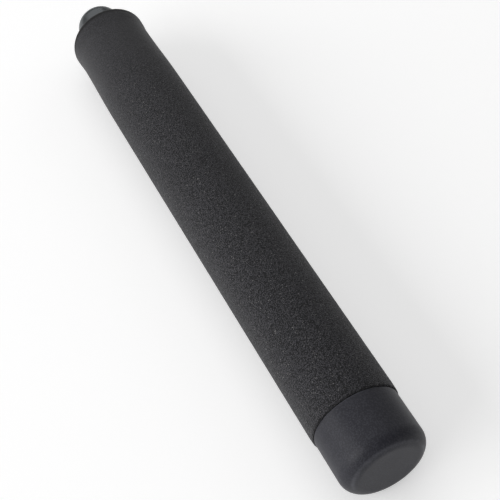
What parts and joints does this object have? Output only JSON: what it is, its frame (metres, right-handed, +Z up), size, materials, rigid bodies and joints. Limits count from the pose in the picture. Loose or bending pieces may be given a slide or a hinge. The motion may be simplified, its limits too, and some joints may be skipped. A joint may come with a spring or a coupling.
{
  "type": "telescopic baton",
  "caption": "Collapsed friction-lock telescopic baton: foam-covered steel handle, screw-on butt cap with a retaining clip, and sliding steel sections that end in a round knob.",
  "frame": {"origin": "centre of the butt cap's flat end face, on the common axis", "axes": "+X along the axis from the butt cap to the tip knob, the way the sections slide out; +Z up with the collapsed baton lying on its grip"},
  "size_m": [0.2428, 0.0308, 0.0308],
  "materials": {
    "cap_black": "satin black",
    "seal_rubber": "matt black",
    "spring_steel": "bright, lightly brushed",
    "zinc_steel": "zinc plated",
    "black_steel": "black oxide, satin",
    "raw_steel": "machined",
    "grip_foam": "closed-cell foam, matt, finely pebbled",
    "knob_metal": "dark glossy plating"
  },
  "bodies": {
    "handle": {"handle_tube": "black_steel", "foam_grip": "grip_foam"},
    "cap_seal": {"cap_o_ring": "seal_rubber"},
    "butt_cap": {"butt_cap": "cap_black", "retaining_clip": "spring_steel", "clip_washer": "zinc_steel", "clip_screw": "zinc_steel"},
    "middle": {"middle_tube": "black_steel"},
    "tip": {"tip_shaft": "black_steel", "tip_plug": "raw_steel", "tip_knob": "knob_metal"}
  },
  "joints": [
    {"name": "cap_travel", "type": "slide", "parent": "handle", "child": "cap_seal", "axis": [-1, 0, 0], "range_m": [0, 0.00825]},
    {"name": "cap_turn", "type": "hinge", "parent": "cap_seal", "child": "butt_cap", "pos_m": [0, 0, 0], "axis": [-1, 0, 0], "range_deg": [0, 1981]},
    {"name": "middle_slide", "type": "slide", "parent": "handle", "child": "middle", "axis": [1, 0, 0], "range_m": [0, 0.1797]},
    {"name": "tip_slide", "type": "slide", "parent": "middle", "child": "tip", "axis": [1, 0, 0], "range_m": [0, 0.1795]}
  ],
  "couplings": [
    {"joint": "cap_turn", "follows": "cap_travel", "rad_per_m": 4188.8}
  ]
}
